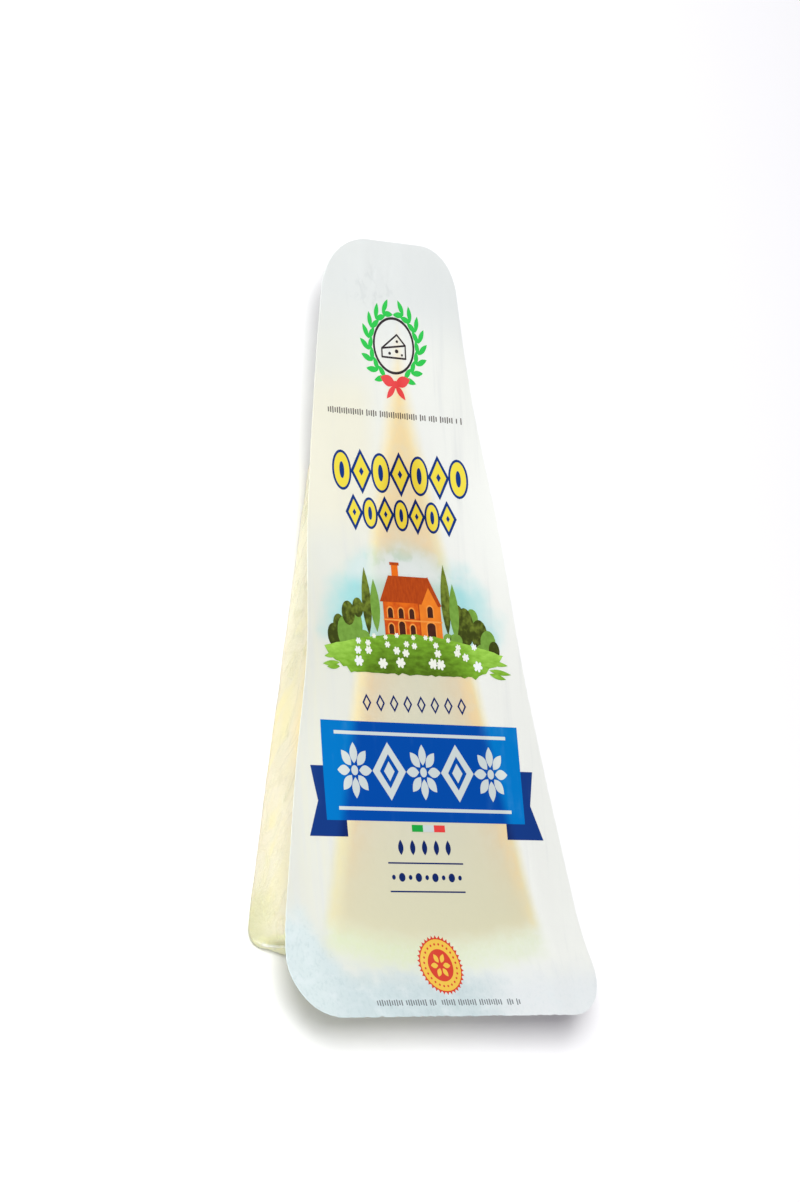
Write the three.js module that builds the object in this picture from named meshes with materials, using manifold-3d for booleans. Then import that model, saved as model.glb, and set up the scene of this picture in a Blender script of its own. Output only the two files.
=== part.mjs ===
// A retail wedge of hard sheep's milk cheese: the wedge lies in a clear formed film, drawn tight
// round it, and a printed milky lid film is sealed all round to the formed film's flat flange.
// Millimetres, +Z up. The pack lies on the flat cut face of the cheese with its lid up, and +Y runs
// from the wide rind end towards the wedge's tip. The origin is under the middle of the pack.
import * as THREE from "three";
import { mergeVertices } from "three/addons/utils/BufferGeometryUtils.js";
import Module from "manifold-3d";

const wasm = await Module();
wasm.setup();

// The lid's outline, measured along the film from its wide bottom edge to its narrow top edge.
const PACK_LENGTH = 205;
const BOTTOM_HALF = 55.5; // half the width where the long sides run into the bottom corners
const TOP_HALF = 25;
const CORNERS = { left: { bottom: 14.5, top: 17 }, right: { bottom: 12.5, top: 13.5 } };
const WAIST = 1.7; // how far the long sides bow inwards half way up

// How the sealed flange curls up towards the lid side at its two free ends.
const LIP_LENGTH = 12;
const LIP_ANGLE = THREE.MathUtils.degToRad(13.8);
const LIP_BEND_LENGTH = 18;
const CURL_START = 120;
const CURL_ANGLE = THREE.MathUtils.degToRad(5.9);

// One slack wave in each long edge of the flange, where the film isn't backed by the wedge.
const EDGE_WAVES = {
  left: { along: 95, spread: 15, lift: 2 },
  right: { along: 130, spread: 20, lift: 1.9 },
};

// The two films, drawn thicker than the real ones, with a hair of air along the seal.
const LID_FILM = 0.3;
const SEAL_GAP = 0.3;
const FORMED_FILM = 0.4;

// The wedge inside its film: a sector of a wheel, with the rind as its curved base. By hand-cutting
// its back face came out a little shorter and wider than the face under the lid.
const PACK_DEPTH = 34; // lid face to back face
const WEDGE_FRONT = { apex: 166, base: 22.4, half: 36.4, bulge: 4.2, apexCut: 6, cornerCut: 3 };
const WEDGE_BACK = { apex: 156.5, base: 21.5, half: 39.2, bulge: 4.2, apexCut: 6, cornerCut: 4 };
const EDGE_ROUND = 4; // the rounding of the wedge's back edges under the film

// Where the formed film leaves the flange, wider than the wedge, and how deep it takes to meet it.
const POCKET_MOUTH = { apex: 172, base: 14.5, half: 42.5, bulge: 1.5, apexCut: 12, cornerCut: 9 };
const MOUTH_DEPTH = 7;

// The width of the lid on one side of its centre line, at a distance along the film.
function halfWidth(along, corners) {
  const { bottom, top } = corners;
  const lean = Math.atan2(BOTTOM_HALF - bottom - (TOP_HALF - top), PACK_LENGTH - bottom - top);
  const low = bottom * (1 + Math.sin(lean));
  const high = PACK_LENGTH - top * (1 - Math.sin(lean));
  if (along < low) return BOTTOM_HALF - bottom + cornerReach(bottom, bottom - along);
  if (along > high) return TOP_HALF - top + cornerReach(top, along - (PACK_LENGTH - top));
  const share = (along - low) / (high - low);
  const lowHalf = BOTTOM_HALF - bottom * (1 - Math.cos(lean));
  const highHalf = TOP_HALF - top * (1 - Math.cos(lean));
  return THREE.MathUtils.lerp(lowHalf, highHalf, share) - WAIST * Math.sin(Math.PI * share);
}

// How far a round corner stands out at a distance from its centre line.
function cornerReach(radius, offset) {
  return Math.sqrt(Math.max(radius * radius - offset * offset, 0));
}

// The film's side view: a straight lip, a bend, a flat stretch and a long slow curl.
// Returns the place and the slope of the film at a distance along it.
function filmAt(along) {
  const bendRate = LIP_ANGLE / LIP_BEND_LENGTH;
  const lipEnd = Math.min(along, LIP_LENGTH);
  const inBend = THREE.MathUtils.clamp(along - LIP_LENGTH, 0, LIP_BEND_LENGTH);
  const flat = Math.max(Math.min(along, CURL_START) - LIP_LENGTH - LIP_BEND_LENGTH, 0);
  const curlRate = CURL_ANGLE / (PACK_LENGTH - CURL_START);
  const inCurl = Math.max(along - CURL_START, 0);
  const bendSlope = LIP_ANGLE - bendRate * inBend;
  const y =
    lipEnd * Math.cos(LIP_ANGLE) +
    (Math.sin(LIP_ANGLE) - Math.sin(bendSlope)) / bendRate +
    flat +
    Math.sin(curlRate * inCurl) / curlRate;
  const z =
    (LIP_LENGTH - lipEnd) * Math.sin(LIP_ANGLE) +
    (1 - Math.cos(bendSlope)) / bendRate +
    (1 - Math.cos(curlRate * inCurl)) / curlRate;
  return { y, z, slope: curlRate * inCurl - bendSlope };
}

// Rows across the film: close together round the corners and along the bends.
function filmStations() {
  const cornerSteps = 8;
  const middleSteps = 22;
  const bottom = Math.max(CORNERS.left.bottom, CORNERS.right.bottom);
  const top = Math.max(CORNERS.left.top, CORNERS.right.top);
  const middle = PACK_LENGTH - bottom - top;
  const stations = [];
  for (let i = 0; i < cornerSteps; i++)
    stations.push(bottom * (1 - Math.cos((i / cornerSteps) * (Math.PI / 2))));
  for (let i = 0; i <= middleSteps; i++) stations.push(bottom + (i / middleSteps) * middle);
  for (let i = cornerSteps - 1; i >= 0; i--)
    stations.push(PACK_LENGTH - top * (1 - Math.cos((i / cornerSteps) * (Math.PI / 2))));
  return stations;
}

// A sheet of the lid's outline that follows the bent film, between two heights from the lid's face.
function bentSheet(lower, upper, spare = 0) {
  const stations = filmStations();
  const columns = 12;
  const rows = stations.length - 1;
  const sheet = new THREE.BoxGeometry(2, rows, 1, columns, rows, 1);
  const places = sheet.getAttribute("position");
  for (let i = 0; i < places.count; i++) {
    const across = places.getX(i);
    const along = stations[Math.round(places.getY(i) + rows / 2)];
    const side = across < 0 ? "left" : "right";
    const film = filmAt(along);
    const wave = EDGE_WAVES[side];
    const lift = wave.lift * Math.abs(across) ** 3 * bell((along - wave.along) / wave.spread);
    const height = lift + (places.getZ(i) > 0 ? upper : lower);
    const reach = Math.sign(along - PACK_LENGTH / 2) * spare;
    places.setXYZ(
      i,
      across * (halfWidth(along, CORNERS[side]) + spare),
      film.y + reach - height * Math.sin(film.slope),
      film.z + height * Math.cos(film.slope),
    );
  }
  return sheet;
}

function bell(offset) {
  return Math.exp(-0.5 * offset * offset);
}

// Points round a wedge's outline, anticlockwise from the left end of its rounded base, with the
// same number of points whatever its size, so that two outlines can be blended or lofted.
function wedgeOutline(wedge, inset = 0) {
  const slope = Math.atan2(wedge.half, wedge.apex - wedge.base);
  const apex = wedge.apex - inset / Math.sin(slope);
  const base = wedge.base + inset;
  const half = wedge.half * ((apex - base) / (wedge.apex - wedge.base));
  const side = new THREE.Vector2(half, base).sub(new THREE.Vector2(0, apex));
  const apexCut = side.clone().setLength(wedge.apexCut);
  const sideCut = side.clone().setLength(wedge.cornerCut);
  const bulge = wedge.bulge * (half / wedge.half) ** 2;
  const foot = half - wedge.cornerCut;

  const outline = new THREE.Path();
  outline.moveTo(-foot, base);
  outline.quadraticCurveTo(0, base - 2 * bulge, foot, base);
  outline.quadraticCurveTo(half, base + 0.15 * bulge, half - sideCut.x, base - sideCut.y);
  outline.lineTo(apexCut.x, apex + apexCut.y);
  outline.quadraticCurveTo(0, apex, -apexCut.x, apex + apexCut.y);
  outline.lineTo(-half + sideCut.x, base - sideCut.y);
  outline.quadraticCurveTo(-half, base + 0.15 * bulge, -foot, base);
  const steps = [14, 4, 12, 6, 12, 4];
  return outline.curves.flatMap((curve, i) => curve.getPoints(steps[i]).slice(0, -1));
}

// A closed body through a stack of rings of equal length, from the top ring to the bottom one.
function loft(rings) {
  const around = rings[0].length;
  const places = rings.flat().flatMap((p) => [p.x, p.y, p.z]);
  const faces = [];
  const last = rings.length - 1;
  for (let level = 0; level < last; level++)
    for (let i = 0; i < around; i++) {
      const upper = level * around + i;
      const upperNext = level * around + ((i + 1) % around);
      faces.push(upper, upper + around, upperNext, upperNext, upper + around, upperNext + around);
    }
  for (const [level, turn] of [[0, 1], [last, -1]]) {
    const middle = places.length / 3;
    const centre = new THREE.Vector3();
    rings[level].forEach((p) => centre.addScaledVector(p, 1 / around));
    places.push(centre.x, centre.y, centre.z);
    for (let i = 0; i < around; i++) {
      const here = level * around + i;
      const next = level * around + ((i + 1) % around);
      faces.push(middle, turn > 0 ? here : next, turn > 0 ? next : here);
    }
  }
  const body = new THREE.BufferGeometry();
  body.setAttribute("position", new THREE.Float32BufferAttribute(places, 3));
  body.setIndex(faces);
  return body;
}

// The formed pocket with the wedge that fills it: the wide mouth draws in to the wedge's sides,
// which run straight down to the rounded edges of the back.
function pocketWithWedge() {
  const mouth = wedgeOutline(POCKET_MOUTH);
  const flangeUnderside = LID_FILM + SEAL_GAP + FORMED_FILM;
  const throughFlange = 12; // the part above the flange is cut off afterwards
  const levels = [
    { depth: -throughFlange, spread: 1, inset: 0 },
    { depth: flangeUnderside, spread: 1, inset: 0 },
  ];
  const mouthSteps = 4;
  for (let i = 1; i <= mouthSteps; i++) {
    const share = i / mouthSteps;
    levels.push({ depth: flangeUnderside + MOUTH_DEPTH * share, spread: (1 - share) ** 2, inset: 0 });
  }
  const roundSteps = 4;
  for (let i = 0; i <= roundSteps; i++) {
    const angle = (i / roundSteps) * (Math.PI / 2);
    levels.push({
      depth: PACK_DEPTH - EDGE_ROUND * (1 - Math.sin(angle)),
      spread: 0,
      inset: EDGE_ROUND * (1 - Math.cos(angle)),
    });
  }
  return loft(
    levels.map(({ depth, spread, inset }) => {
      const front = wedgeOutline(WEDGE_FRONT, inset);
      const back = wedgeOutline(WEDGE_BACK, inset);
      const towardsBack = THREE.MathUtils.clamp(depth / PACK_DEPTH, 0, 1);
      return front.map((place, i) => {
        place.lerp(back[i], towardsBack).lerp(mouth[i], spread);
        return new THREE.Vector3(place.x, place.y, spread * mouthLift(place.y) - depth);
      });
    }),
  );
}

// How far the flange has risen where the pocket's mouth meets it: only the bend by the rind end
// lifts it by more than a hair.
function mouthLift(y) {
  return y < LIP_LENGTH + LIP_BEND_LENGTH ? filmAt(y).z : 0;
}

function solidOf(geometry) {
  const plain = geometry.clone();
  for (const name of ["normal", "uv"]) plain.deleteAttribute(name);
  const merged = mergeVertices(plain, 1e-4);
  return new wasm.Manifold(
    new wasm.Mesh({
      numProp: 3,
      vertProperties: merged.getAttribute("position").array,
      triVerts: new Uint32Array(merged.getIndex().array),
    }),
  );
}

function geometryOf(solid) {
  const mesh = solid.getMesh();
  const geometry = new THREE.BufferGeometry();
  geometry.setAttribute("position", new THREE.BufferAttribute(mesh.vertProperties, mesh.numProp));
  geometry.setIndex(new THREE.BufferAttribute(mesh.triVerts, 1));
  geometry.computeVertexNormals();
  return geometry;
}

// The formed film: its flange all round and the pocket under it, full of cheese.
function filledPocket() {
  const filmTop = -(LID_FILM + SEAL_GAP);
  const flange = solidOf(bentSheet(filmTop - FORMED_FILM, filmTop));
  const spaceAbove = solidOf(bentSheet(filmTop, 20, 5));
  const filled = solidOf(pocketWithWedge()).subtract(spaceAbove).add(flange);
  const mesh = new THREE.Mesh(
    geometryOf(filled),
    new THREE.MeshStandardMaterial({ color: 0xf5efd2, roughness: 0.3, metalness: 0 }),
  );
  mesh.name = "wedge_in_formed_film";
  return mesh;
}

// The printed lid film, sealed over the flange and lying flat on the wedge.
function lidFilm() {
  const mesh = new THREE.Mesh(
    bentSheet(-LID_FILM, 0),
    new THREE.MeshStandardMaterial({ color: 0xebeee9, roughness: 0.45, metalness: 0 }),
  );
  mesh.name = "lid_film";
  return mesh;
}

const pack = new THREE.Group();
pack.add(filledPocket(), lidFilm());
const extent = new THREE.Box3().setFromObject(pack);
const middle = extent.getCenter(new THREE.Vector3());
pack.position.set(-middle.x, -middle.y, -extent.min.z);

const root = new THREE.Group();
root.add(pack);

export default root;
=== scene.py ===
import math

import bmesh
import bpy
from mathutils import Matrix, Vector, noise


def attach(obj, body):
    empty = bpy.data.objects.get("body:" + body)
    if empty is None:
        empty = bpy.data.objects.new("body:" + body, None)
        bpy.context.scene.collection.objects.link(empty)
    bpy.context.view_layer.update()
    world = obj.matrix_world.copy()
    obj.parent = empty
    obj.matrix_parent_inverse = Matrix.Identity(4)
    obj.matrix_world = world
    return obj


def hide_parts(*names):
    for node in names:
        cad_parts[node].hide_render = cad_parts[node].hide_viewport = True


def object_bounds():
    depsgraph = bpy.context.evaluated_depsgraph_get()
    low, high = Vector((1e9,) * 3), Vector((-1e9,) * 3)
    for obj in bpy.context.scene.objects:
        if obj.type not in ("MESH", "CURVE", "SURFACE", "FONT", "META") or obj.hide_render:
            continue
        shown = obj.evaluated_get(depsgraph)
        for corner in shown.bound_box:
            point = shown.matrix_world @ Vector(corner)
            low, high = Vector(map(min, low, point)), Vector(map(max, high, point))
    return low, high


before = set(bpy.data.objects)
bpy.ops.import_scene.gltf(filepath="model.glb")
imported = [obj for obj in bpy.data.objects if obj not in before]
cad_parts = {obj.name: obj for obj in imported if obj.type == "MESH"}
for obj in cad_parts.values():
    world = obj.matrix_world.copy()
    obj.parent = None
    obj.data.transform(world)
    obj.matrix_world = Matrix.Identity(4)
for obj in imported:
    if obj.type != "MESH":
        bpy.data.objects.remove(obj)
cad_low, cad_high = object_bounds()

# The camera stands to the left of the pack and looks down on its lid, as the photograph does. Places on
# the pack are in millimetres: x across it, "along" it from its wide end, and a height above the lid's
# face. The picture is upright along a line that is turned a little from the pack's length.
MM = 0.001
PACK_DEPTH, FILM_STACK, LIP_ANGLE = 34, 1.0, math.radians(13.8)
FOOT_Y = cad_low.y + FILM_STACK * math.sin(LIP_ANGLE) * MM
FACE_Z = cad_low.z + PACK_DEPTH * MM

CAMERA_AIM = Vector((-3.2 * MM, FOOT_Y + 109.08 * MM, FACE_Z))
CAMERA_AZIMUTH, CAMERA_ELEVATION, CAMERA_DISTANCE = math.radians(-77.68), math.radians(44.41), 1.39
PICTURE_TURN = math.radians(6.87)
LENS = 160

camera = bpy.data.objects.new("camera", bpy.data.cameras.new("camera"))
bpy.context.collection.objects.link(camera)
bpy.context.scene.camera = camera
camera.data.lens = LENS
camera.data.clip_start, camera.data.clip_end = 0.05, 20
back = Vector((
    math.sin(CAMERA_AZIMUTH) * math.cos(CAMERA_ELEVATION),
    -math.cos(CAMERA_AZIMUTH) * math.cos(CAMERA_ELEVATION),
    math.sin(CAMERA_ELEVATION),
))
right = Vector((math.sin(PICTURE_TURN), math.cos(PICTURE_TURN), 0)).cross(back).normalized()
turned = Matrix((right, back.cross(right), back)).transposed().to_4x4()
camera.matrix_world = Matrix.Translation(CAMERA_AIM + back * CAMERA_DISTANCE) @ turned


# A plain white floor under soft studio light: one soft lamp stands behind the viewer and well above,
# so that the pack's shadow shows only below it, and a weaker one lights its side from the left.
FLOOR_SIZE = 6.0


def summed(operation, turned=False):
    """A sum that adds a Math node, with its values the other way round if it is turned."""
    def work(self, *others):
        values = dict(enumerate((*others, self) if turned else (self, *others)))
        return self.board.node("ShaderNodeMath", {"operation": operation}, values)["Value"]
    return work


class Wire:
    """A value on its way through a material. Sums on it add the nodes that work them out."""

    __add__, __radd__ = summed("ADD"), summed("ADD", True)
    __sub__, __rsub__ = summed("SUBTRACT"), summed("SUBTRACT", True)
    __mul__, __rmul__ = summed("MULTIPLY"), summed("MULTIPLY", True)
    __truediv__, __pow__, __abs__ = summed("DIVIDE"), summed("POWER"), summed("ABSOLUTE")
    least, most = summed("MINIMUM"), summed("MAXIMUM")

    def __init__(self, board, socket):
        self.board, self.socket = board, socket


def shade(red, green, blue):
    """A colour as a screen shows it, turned into the light that it reflects."""
    return tuple(
        (c / 255 / 12.92) if c < 11 else ((c / 255 + 0.055) / 1.055) ** 2.4 for c in (red, green, blue)
    ) + (1.0,)


class Board:
    """A material and the nodes that it is made of."""

    def __init__(self, name):
        self.material = bpy.data.materials.new(name)
        self.material.use_nodes = True
        self.tree = self.material.node_tree
        self.tree.nodes.clear()

    def node(self, kind, settings=None, values=None):
        """Adds one node and returns its outputs by name."""
        made = self.tree.nodes.new(kind)
        for name, value in (settings or {}).items():
            if name == "stops":
                self.set_stops(made.color_ramp, value)
            else:
                setattr(made, name, value)
        for name, value in (values or {}).items():
            live = [s for s in made.inputs if s.enabled]
            socket = live[name] if isinstance(name, int) else next(s for s in live if s.name == name)
            if isinstance(value, Wire):
                self.tree.links.new(value.socket, socket)
            else:
                socket.default_value = value
        return {s.name: Wire(self, s) for s in made.outputs if s.enabled}

    def set_stops(self, ramp, stops):
        while len(ramp.elements) < len(stops):
            ramp.elements.new(1)
        for element, (place, colour) in zip(ramp.elements, stops):
            element.position, element.color = place, shade(*colour)

    def places(self):
        """Across the pack, along it and up, in millimetres on the pack's own film."""
        coords = self.node("ShaderNodeTexCoord")["Object"]
        axes = self.node("ShaderNodeSeparateXYZ", {}, {"Vector": coords})
        return coords, axes["X"] / MM, (axes["Y"] - FOOT_Y) / MM, (axes["Z"] - FACE_Z) / MM

    def step(self, value, low, high):
        """0 below low, 1 above high, or the other way round, and smooth between them."""
        settings = {"interpolation_type": "SMOOTHSTEP"}
        values = {"Value": value, "From Min": low, "From Max": high}
        return self.node("ShaderNodeMapRange", settings, values)["Result"]

    def mix(self, share, first, second):
        """Mixes two colours by a share. Each is a wire or a colour as a screen shows it."""
        first, second = (c if isinstance(c, Wire) else shade(*c) for c in (first, second))
        values = {"Factor": share, "A": first, "B": second}
        return self.node("ShaderNodeMix", {"data_type": "RGBA"}, values)["Result"]

    def over(self, colour, *layers):
        """Lays screen colours over a first one, each by its own share."""
        for share, layer in layers:
            colour = self.mix(share, colour, layer)
        return colour

    def noise(self, coords, size, detail=3, stretch=None, **values):
        """Soft spots of a size in millimetres, drawn out where stretch has a scale under 1."""
        if stretch:
            coords = self.node("ShaderNodeMapping", {}, {"Vector": coords, "Scale": stretch})["Vector"]
        values = {"Vector": coords, "Scale": 1 / (size * MM), "Detail": detail, **values}
        return self.node("ShaderNodeTexNoise", {}, values)["Fac"]

    def bump(self, height, depth, strength=1):
        values = {"Height": height, "Distance": depth * MM, "Strength": strength}
        return self.node("ShaderNodeBump", {}, values)["Normal"]

    def principled(self, values):
        return self.node("ShaderNodeBsdfPrincipled", {}, values)["BSDF"]

    def blend(self, share, first, second):
        """Two finishes, blended by a share that changes over the surface."""
        return self.node("ShaderNodeMixShader", {}, {0: share, 1: first, 2: second})["Shader"]

    def finish(self, shader):
        self.node("ShaderNodeOutputMaterial", {}, {"Surface": shader})
        return self.material


def new_piece(name, bm, *materials, smooth=True):
    mesh = bpy.data.meshes.new(name)
    bm.to_mesh(mesh)
    bm.free()
    for material in materials:
        mesh.materials.append(material)
    for face in mesh.polygons:
        face.use_smooth = smooth
    mesh.set_sharp_from_angle(angle=math.radians(45))
    piece = bpy.data.objects.new(name, mesh)
    bpy.context.collection.objects.link(piece)
    return piece


board = Board("white_floor")
coords, *_ = board.places()
cloudy = board.noise(coords, 400)
floor_white = board.mix(cloudy, (247, 248, 249), (250, 250, 250))
floor_paint = board.finish(board.principled({"Base Color": floor_white, "Roughness": 0.6}))
bm = bmesh.new()
bmesh.ops.create_grid(bm, x_segments=2, y_segments=2, size=FLOOR_SIZE / 2)
bmesh.ops.translate(bm, vec=(0, 0, cad_low.z), verts=bm.verts)
new_piece("floor", bm, floor_paint, smooth=False)

KEY_TURN, KEY_SIZE, KEY_POWER = (0.055, 0.14), 0.34, 34
FILL_TURN, FILL_SIZE, FILL_POWER = (-0.5, 0.1), 0.8, 2.5
LAMP_DISTANCE = 1.6
SURROUND, SURROUND_TINT = 0.31, (0.95, 0.91, 1, 1)


def soft_lamp(name, turn, size, power):
    """A square lamp that shines on the pack from beside the viewer's place."""
    towards = (back + right * turn[0] + back.cross(right) * turn[1]).normalized()
    lamp = bpy.data.objects.new(name, bpy.data.lights.new(name, "AREA"))
    lamp.data.size, lamp.data.energy = size, power
    lamp.location = CAMERA_AIM + towards * LAMP_DISTANCE
    lamp.rotation_euler = towards.to_track_quat("Z", "Y").to_euler()
    bpy.context.collection.objects.link(lamp)


soft_lamp("key_lamp", KEY_TURN, KEY_SIZE, KEY_POWER)
soft_lamp("fill_lamp", FILL_TURN, FILL_SIZE, FILL_POWER)
world = bpy.data.worlds.new("surround")
bpy.context.scene.world = world
world.use_nodes = True
world.node_tree.nodes["Background"].inputs["Color"].default_value = SURROUND_TINT
world.node_tree.nodes["Background"].inputs["Strength"].default_value = SURROUND
bpy.context.scene.view_settings.view_transform = "Standard"


# The wedge of cheese: a sector cut from a wheel, dense and pale, with crumbly cut faces, soft edges
# and a thin rind on its curved end. The wire's cut left its back face a little wider at the rind.
WEDGE_FRONT = {"apex": 166, "base": 22.4, "half": 36.4, "bulge": 4.2, "apex_cut": 6, "corner_cut": 6}
WEDGE_BACK = {"apex": 156.5, "base": 21.3, "half": 39.6, "bulge": 4.2, "apex_cut": 6, "corner_cut": 7.5}
RING_STEPS = {"base": 70, "corner": 12, "side": 110, "tip": 44}
EDGE_ROUND, EDGE_WORN = 4, 2.6
FILM_GAP, LID_GAP = 0.45, 0.9
FACE_REACH = 26.5


def bow(start, pull, end, steps):
    """Points of a curve from start towards end, drawn towards pull, without the end itself."""
    points = []
    for i in range(steps):
        t = i / steps
        points.append(start.lerp(pull, t).lerp(pull.lerp(end, t), t))
    return points


def wedge_ring(wedge, inset=0):
    """Points round a wedge, anticlockwise from the left of its base, as (x, along)."""
    slope = math.atan2(wedge["half"], wedge["apex"] - wedge["base"])
    apex = wedge["apex"] - inset / math.sin(slope)
    base = wedge["base"] + inset
    share = (apex - base) / (wedge["apex"] - wedge["base"])
    half = wedge["half"] * share
    down = Vector((math.sin(slope), -math.cos(slope)))
    tip_cut = down * wedge["apex_cut"] * min(1, share * 3)
    corner_cut = wedge["corner_cut"] * min(1, share * 3)
    bulge = wedge["bulge"] * share**2
    tip = Vector((0, apex))
    corner = Vector((half, base + 0.15 * bulge))
    foot = Vector((half - corner_cut, base))
    shoulder = Vector((half, base)) - down * corner_cut
    mirrored = [Vector((-p.x, p.y)) for p in (foot, corner, shoulder)]
    low_side, high_side = shoulder, tip + tip_cut
    left_high = Vector((-high_side.x, high_side.y))
    middle = Vector((0, base - 2 * bulge))
    return (
        bow(mirrored[0], middle, foot, RING_STEPS["base"])
        + bow(foot, corner, low_side, RING_STEPS["corner"])
        + bow(low_side, low_side.lerp(high_side, 0.5), high_side, RING_STEPS["side"])
        + bow(high_side, tip, left_high, RING_STEPS["tip"])
        + bow(left_high, left_high.lerp(mirrored[2], 0.5), mirrored[2], RING_STEPS["side"])
        + bow(mirrored[2], mirrored[1], mirrored[0], RING_STEPS["corner"])
    )


def rolled(rings):
    """A grid rolled into a tube through the rings, with its seam and its poles welded."""
    around, last = len(rings[0]), len(rings) - 1
    bm = bmesh.new()
    bmesh.ops.create_grid(bm, x_segments=around, y_segments=last, size=1)
    for vert in bm.verts:
        i = round((vert.co.x + 1) / 2 * around) % around
        j = round((vert.co.y + 1) / 2 * last)
        vert.co = rings[j][i]
    bmesh.ops.remove_doubles(bm, verts=bm.verts, dist=1e-7)
    bmesh.ops.recalc_face_normals(bm, faces=bm.faces)
    return bm


def wedge_at(depth, inset):
    """The wedge's ring at a depth under the lid, between its front face and its back face."""
    share = min(max(depth / PACK_DEPTH, 0), 1)
    back_ring = wedge_ring(WEDGE_BACK, inset)
    return [p.lerp(q, share) for p, q in zip(wedge_ring(WEDGE_FRONT, inset), back_ring)]


def edge_levels(radius, steps):
    """Pairs of depth and inset round an edge, from the wall in to the face."""
    turns = (i / steps * math.pi / 2 for i in range(steps + 1))
    return [(radius * (1 - math.sin(turn)), radius * (1 - math.cos(turn))) for turn in turns]


def rounded_levels(top, bottom, radius, face_rings, wall_rings, edge_rings=6):
    """Pairs of depth and inset down a body with rounded edges and closed faces."""
    face = [radius + (FACE_REACH - radius) * (1 - i / face_rings) for i in range(face_rings)]
    edge = edge_levels(radius, edge_rings)
    wall = bottom - top - 2 * radius
    levels = [(top, inset) for inset in face]
    levels += [(top + depth, inset) for depth, inset in reversed(edge[:-1])]
    levels += [(top + radius + wall * i / wall_rings, 0) for i in range(1, wall_rings + 1)]
    levels += [(bottom - depth, inset) for depth, inset in edge[1:]]
    return levels + [(bottom, inset) for inset in reversed(face)]


def smooth(value, low, high):
    share = min(max((value - low) / (high - low), 0), 1)
    return share * share * (3 - 2 * share)


def crumb(place, size, depth, seed):
    """How far a crumbly surface stands out at a place, in millimetres."""
    return depth * noise.fractal((place / size + Vector((seed, seed, seed))), 0.7, 2.1, 4)


cheese_rings = []
for depth, inset in rounded_levels(LID_GAP, PACK_DEPTH - FILM_GAP, EDGE_WORN, 18, 22):
    ring = []
    for p in wedge_at(depth, inset + FILM_GAP):
        loose = 0.4 * smooth(p.y, 62, 24) * smooth(depth, 4, 16) * smooth(abs(p.x), 12, 30)
        x = p.x - math.copysign(loose, p.x)
        ring.append(Vector((x * MM, FOOT_Y + p.y * MM, FACE_Z - depth * MM)))
    cheese_rings.append(ring)
for pole in (0, -1):
    centre = sum(cheese_rings[pole], Vector()) / len(cheese_rings[pole])
    cheese_rings[pole] = [centre] * len(cheese_rings[pole])
bm = rolled(cheese_rings)
bm.normal_update()
for vert in bm.verts:
    relief = crumb(vert.co / MM, 9, 0.16, 3) + crumb(vert.co / MM, 2.2, 0.07, 11)
    vert.co += vert.normal * min(relief, 0.15) * MM


def slanted(board, x, along, height, length):
    """Places drawn out along lines that run down and back over the pack's sides."""
    across = along * 0.42 - height * 0.9
    onward = along * 0.9 + height * 0.42
    values = {"X": across * MM, "Y": onward * (MM / length), "Z": x * MM}
    return board.node("ShaderNodeCombineXYZ", {}, values)["Vector"]


board = Board("hard_cheese")
coords, x, along, height = board.places()
clouds = board.noise(coords, 14, 4)
grains = board.noise(coords, 1.1, 5, Roughness=0.7)
# The yellow-green slanted strokes are painted light and shade of the film's wrinkles, laid into the
# cheese's colour.
strokes = board.noise(slanted(board, x, along, height, 5), 6, 2, Distortion=0.5)
uneven = height + clouds * 6
# Painted light: the side is lighter near the lid and towards the tip, where the flange's shadow falls
# on it.
upper = board.step(uneven, -27, -15) * board.step(along, 128, 100)
# A painted peach glow, as of light through the cheese, runs along the side near the lid.
painted_peach_glow = board.step(uneven, -23, -15) * board.step(along, 60, 76) * board.step(along, 128, 108)
low_corner = board.step(height + clouds * 5, -18, -27) * board.step(along + clouds * 6, 46, 32)
paste = board.over(
    board.mix(clouds, (192, 184, 160), (199, 194, 178)),
    (board.step(strokes, 0.5, 0.68) * 0.55, (204, 194, 138)),
    (board.step(grains, 0.58, 0.75) * 0.2, (224, 219, 204)),
    (upper * 0.75, (222, 215, 192)),
    (board.step(along, 84, 140) * 0.9, (231, 226, 205)),
    (painted_peach_glow * 0.8, (234, 211, 154)),
    (low_corner * 0.8, (178, 176, 136)),
)
rind = board.over(
    board.mix(grains, (242, 238, 192), (248, 246, 210)),
    (board.step(along, 21.4, 23) * board.step(height, -18, -25), (204, 202, 160)),
)
rind_line = board.step(along + x * x * 0.0032 + (grains - 0.5) * 2.4, 29.5, 27.5)
cheese_paste = board.finish(board.principled({
    "Base Color": board.mix(rind_line, paste, rind),
    "Roughness": 0.55 + 0.2 * grains,
    "Subsurface Weight": 0.25,
    "Subsurface Radius": (1.0, 0.75, 0.45),
    "Subsurface Scale": 0.004,
    "Normal": board.bump(grains + clouds, 0.25, 0.6),
}))
cheese = new_piece("cheese_wedge", bm, cheese_paste)
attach(cheese, "root")
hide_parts("wedge_in_formed_film")


# The formed film: one sheet of clear film, flat in the flange and drawn tight over the wedge by the
# vacuum. The flange has a straight lip and a bend at its wide end, a flat stretch round the cheese and
# a long slow curl towards its top. Below it the film is in short pleats, and creased down the sides.
PACK_LENGTH = 205
LIP_LENGTH, LIP_BEND = 12, 18
CURL_START, CURL_ANGLE = 120, math.radians(5.9)
BOTTOM_HALF, TOP_HALF, WAIST = 55.5, 25, 1.7
CORNERS = {"left": (14.5, 17), "right": (12.5, 13.5)}
EDGE_WAVES = {"left": (95, 15, 2.0), "right": (130, 20, 1.9)}
MOUTH = {"apex": 172, "base": 14.5, "half": 42.5, "bulge": 1.5, "apex_cut": 12, "corner_cut": 9}
MOUTH_DEPTH = 7
FLANGE_TOP = -0.55
FORMED_FILM = 0.3


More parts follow.
